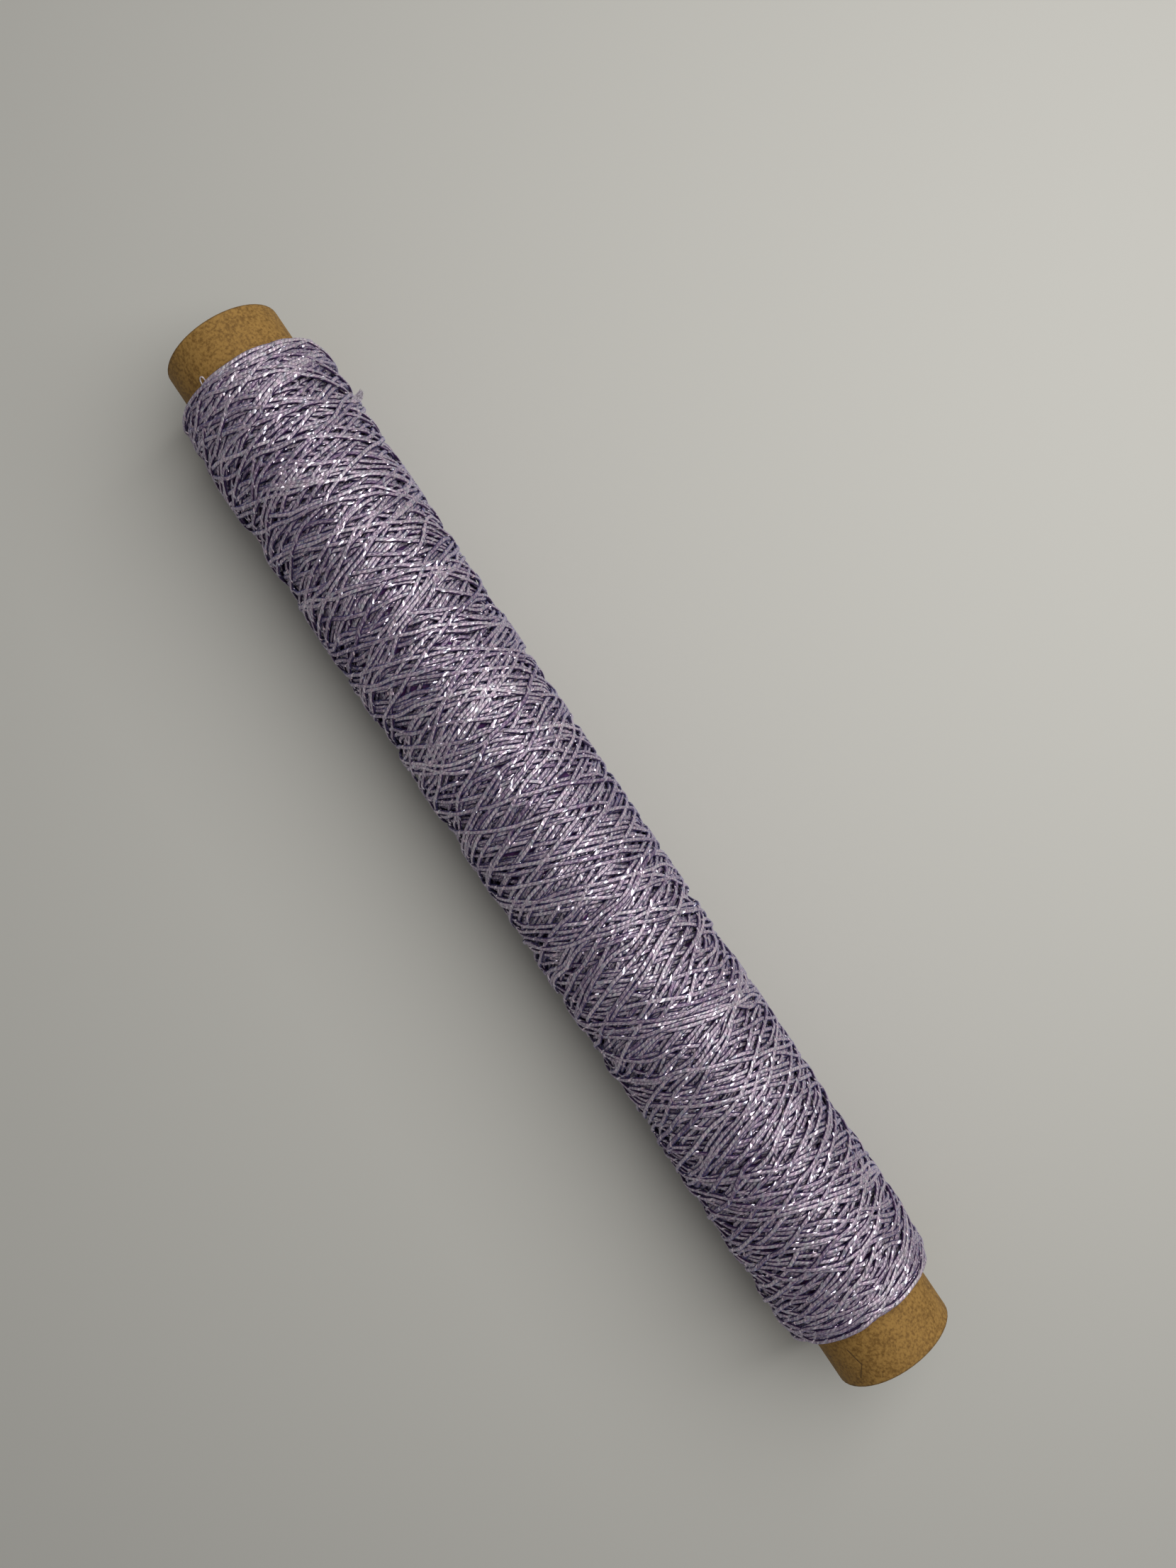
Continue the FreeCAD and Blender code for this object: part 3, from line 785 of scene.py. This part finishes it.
def addWinding(v):
    rng = np.random.default_rng(v["seed"])
    places, outward = woundPlaces(v, rng)
    # the cut end leaves the surface on a straight run
    out = outward[-1]
    way = np.array([v["endDrift"], out[2], -out[1]])
    way /= np.linalg.norm(way)
    steps = np.arange(1, int(v["endReach"] / v["step"]) + 1)[:, None] * v["step"]
    free = places[-1] + way * steps
    places = np.concatenate([places, free])
    outward = np.concatenate([outward, np.repeat(out[None], len(free), 0)])
    along = np.concatenate([[0], np.cumsum(np.linalg.norm(np.diff(places, axis=0), axis=1))])
    print("yarn laid:", round(along[-1] / 1000, 1), "m")
    cuts = np.linspace(0, len(places) - 1, v["pieces"] + 1).astype(int)
    cuts = cuts - cuts % v["every"]
    cuts[-1] = len(places) - 1
    for number in range(v["pieces"]):
        part = np.arange(cuts[number], cuts[number + 1] + 1, v["every"])
        if part[-1] != cuts[number + 1]:
            part = np.append(part, cuts[number + 1])
        shape = strandShape(places[part], outward[part], v["wide"], v["high"], v["sides"])
        starts, corners = strandFaces(len(part), v["sides"])
        run = along[part] - along[part[0]] + v["pieceShift"] * number
        maps = strandMaps(run, v["sides"], v["rows"])
        piece = newPiece("woundYarn" + str(number + 1), shape.reshape(-1, 3), starts, corners,
                         yarnMaterial, "yarn", maps=maps)
        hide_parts("yarn_outer_turns")
    return places[-1], way


endPlace, endWay = addWinding(windingValues)

# painted shade: the deep yarn is the same yarn as the strands, coloured a dark violet as it lies in
# shadow in the gaps between them
deepYarnShadeTones = {
    "light": (84, 40, 98), "dark": (46, 18, 58), "edge": (156, 138, 162),
    "ring": 0.7,                 # spacing of the rings on its end faces, mm
    "middle": -0.75, "face": (84.8, 85.6),   # where the end faces begin, mm from the middle
}


def makeCore(values):
    material, tree, shader = newMaterial("deepYarnInShade")
    place = placeInMm(tree)
    streaks = noise(tree, vectorCalc(tree, "MULTIPLY", place, (2.2, 0.6, 0.6)), 1.0, 3.0)
    tone = blendColour(tree, ease(tree, streaks, 0.35, 0.65), colour(*values["dark"]),
                       colour(*values["light"]))
    # the end faces show the turns edge on: rings a strand apart, painted lighter where they stand
    # out, with the painted shade left between them
    across = addNode(tree, "SeparateXYZ", inputs={0: place}).outputs["X"]
    away = calc(tree, "ABSOLUTE", calc(tree, "SUBTRACT", across, values["middle"]))
    out = ease(tree, away, *values["face"])
    radius = vectorCalc(tree, "LENGTH", vectorCalc(tree, "MULTIPLY", place, (0, 1, 1)), out="Value")
    turns = calc(tree, "MULTIPLY_ADD", streaks, 6.0,
                 calc(tree, "MULTIPLY", radius, fullTurn / values["ring"]))
    rings = calc(tree, "MULTIPLY", out, ease(tree, calc(tree, "SINE", turns), -0.9, 0.5))
    tone = blendColour(tree, rings, tone, colour(*values["edge"]))
    bump = addNode(tree, "Bump", inputs={"Strength": 0.8, "Distance": 0.2 * mm, "Height": rings})
    tree.links.new(bump.outputs[0], shader.inputs["Normal"])
    tree.links.new(tone, shader.inputs["Base Color"])
    tree.links.new(ease(tree, streaks, 0.3, 0.7, 0.8, 0.95), shader.inputs["Roughness"])
    return material


def addCore(v):
    # the tightly packed yarn under the shown strands: one closed ring from the tube outward
    near, far = v["left"] + v["shoulder"], v["right"] - v["shoulder"]
    x = np.concatenate([np.linspace(v["left"] + v["coreInset"], near, 24),
                        np.linspace(near, far, 90)[1:-1],
                        np.linspace(far, v["right"] - v["coreInset"], 24)])
    outer = np.stack([x, np.maximum(packageRadius(x) - v["coreDepth"], v["coreLeast"])], -1)
    inner = np.stack([x[::-1][[0, -1]], [v["coreBore"]] * 2], -1)
    places, quads = roundShape(np.concatenate([outer, inner]), 96)
    piece = newPiece("deepYarnLayers", places, np.arange(len(quads)) * 4, quads[:, ::-1].ravel(),
                     makeCore(deepYarnShadeTones), "yarn")
    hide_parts("yarn_inner_layers")


addCore(packageValues)
print("yarn pieces made")


# Frayed end: the cut strand opens into a fan of fibres.

frayValues = {
    "fibres": 110, "thick": (0.035, 0.07), "points": 10, "sides": 4, "seed": 5,
    "base": 1.5,                 # length of strand that opens, mm
    "tip": (-1.16, 1.45, 0.15),  # where the fibres gather, from the strand's end
    "bulge": 0.95,               # how far the outermost fibres run on before they turn back
    "scatter": 0.17, "most": 0.25,   # spread of their tips and its limit
    "dark": (150, 140, 150), "light": (204, 196, 206),
}


def joinStrands(shapes, sides):
    places, starts, corners = [], [], []
    first = firstCorner = 0
    for shape in shapes:
        s, c = strandFaces(len(shape), sides, first)
        places.append(shape.reshape(-1, 3))
        starts.append(s + firstCorner)
        corners.append(c)
        first += shape.shape[0] * sides
        firstCorner += len(c)
    return np.concatenate(places), np.concatenate(starts), np.concatenate(corners)


def makeFray(name, dark, light):
    material, tree, shader = newMaterial(name)
    place = placeInMm(tree)
    mottle = noise(tree, place, 3.0, 2.0)
    tone = blendColour(tree, ease(tree, mottle, 0.35, 0.65), colour(*dark), colour(*light))
    tree.links.new(tone, shader.inputs["Base Color"])
    tree.links.new(ease(tree, mottle, 0.3, 0.7, 0.35, 0.6), shader.inputs["Roughness"])
    return material


def addFray(v):
    # each fibre is a curve from the strand past a middle point to the gathered tip
    rng = np.random.default_rng(v["seed"])
    tip = endPlace + np.array(v["tip"])
    back = np.array([-1.0, 0, 0])
    thin = np.cross(endWay, back)
    shapes = []
    for number in range(v["fibres"]):
        share = rng.random() ** 0.8
        foot = endPlace - endWay * v["base"] * share + thin * rng.normal(0, 0.06)
        middle = (foot + endWay * v["bulge"] * (1 - share) + back * 0.5 * share
                  + rng.normal(0, 0.08, 3))
        t = np.linspace(0, rng.uniform(0.62, 1.0), v["points"])[:, None]
        off = np.clip(rng.normal(0, v["scatter"], 3), -v["most"], v["most"])
        end = tip + off * np.array([1.4, 0.5, 1.0])
        places = foot * (1 - t) ** 2 + middle * 2 * t * (1 - t) + end * t ** 2
        thick = rng.uniform(*v["thick"]) * (1 - 0.5 * np.linspace(0, 1, v["points"]))
        outward = np.repeat(thin[None], len(places), 0)
        shapes.append(strandShape(places, outward, thick * 2.2, thick, v["sides"]))
    piece = newPiece("frayedFibres", *joinStrands(shapes, v["sides"]),
                     makeFray("looseFibres", v["dark"], v["light"]), "yarn_ends")
    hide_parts("yarn_frayed_end")


addFray(frayValues)

curlValues = {
    "route": [(-86.5, -33.4, 10.75), (-87.5, -32.4, 10.4), (-88.25, -31.4, 10.4),
              (-88.6, -29.2, 10.5), (-88.4, -27.2, 10.55), (-88.0, -26.8, 10.5),
              (-87.4, -27.4, 10.4), (-86.5, -28.4, 10.7)],   # x mm, degrees from the top, radius mm
    "wide": 0.24, "high": 0.16, "sides": 8,
    "dark": (196, 180, 190), "light": (236, 228, 232),
}


def smoothRoute(points, count):
    # a Catmull-Rom line through the points
    p = np.asarray(points, float)
    p = np.concatenate([2 * p[:1] - p[1:2], p, 2 * p[-1:] - p[-2:-1]])
    u = np.linspace(0, len(points) - 1, count)
    i = np.clip(u.astype(int), 0, len(points) - 2)
    t = (u - i)[:, None]
    a, b, c, d = p[i], p[i + 1], p[i + 2], p[i + 3]
    return 0.5 * (2 * b + (c - a) * t + (2 * a - 5 * b + 4 * c - d) * t ** 2
                  + (3 * b - a - 3 * c + d) * t ** 3)


def addFirstEnd(v):
    x, turn, radius = smoothRoute(v["route"], 48).T
    turn = np.radians(turn)
    outward = np.stack([0 * x, np.sin(turn), np.cos(turn)], -1)
    places = outward * radius[:, None]
    places[:, 0] = x
    shape = strandShape(places, outward, v["wide"], v["high"], v["sides"])
    starts, corners = strandFaces(len(shape), v["sides"])
    piece = newPiece("firstEndLoop", shape.reshape(-1, 3), starts, corners,
                     makeFray("endFilm", v["dark"], v["light"]), "yarn_ends")
    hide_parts("yarn_first_end")


addFirstEnd(curlValues)
print("yarn ends made")


# Floor, lamp and surrounding light.

stageValues = {
    "level": -13.39, "size": 3000.0,
    "tone": (196, 194, 187),
    "lampTilt": 34, "lampTurn": -5,          # degrees from straight above, and round from +Y
    "lampAway": 330, "lampSize": (330, 330), # mm
    "lampPower": 1.03,                       # W
    "lampAim": (-20, -10, 0),                # what the lamp points at, mm
    "around": 0.205,
}


def addStage(v):
    half = v["size"] / 2
    corners = np.array([(-half, -half), (half, -half), (half, half), (-half, half)])
    places = np.concatenate([corners, np.full((4, 1), v["level"])], 1) * mm
    mesh = bpy.data.meshes.new("paleFloor")
    mesh.from_pydata(places.tolist(), [], [(0, 1, 2, 3)])
    floor = bpy.data.objects.new("paleFloor", mesh)
    bpy.context.scene.collection.objects.link(floor)
    material, tree, shader = newMaterial("paleFloor")
    shader.inputs["Base Color"].default_value = colour(*v["tone"])
    shader.inputs["Roughness"].default_value = 0.6
    shader.inputs["Specular IOR Level"].default_value = 0.2
    mesh.materials.append(material)

    lamp = bpy.data.lights.new("softLamp", "AREA")
    lamp.shape = "RECTANGLE"
    lamp.size, lamp.size_y = (side * mm for side in v["lampSize"])
    lamp.energy = v["lampPower"]
    holder = bpy.data.objects.new("softLamp", lamp)
    bpy.context.scene.collection.objects.link(holder)
    tilt, turn = math.radians(v["lampTilt"]), math.radians(v["lampTurn"])
    aim = Vector((-math.sin(turn) * math.sin(tilt), math.cos(turn) * math.sin(tilt),
                  math.cos(tilt)))
    holder.location = (aim * v["lampAway"] + Vector(v["lampAim"])) * mm
    holder.rotation_euler = aim.to_track_quat("Z", "Y").to_euler()

    world = bpy.data.worlds.new("surroundings")
    bpy.context.scene.world = world
    world.use_nodes = True
    background = world.node_tree.nodes["Background"]
    background.inputs["Color"].default_value = (1, 1, 1, 1)
    background.inputs["Strength"].default_value = v["around"]


addStage(stageValues)
bpy.context.scene.view_settings.view_transform = "Standard"
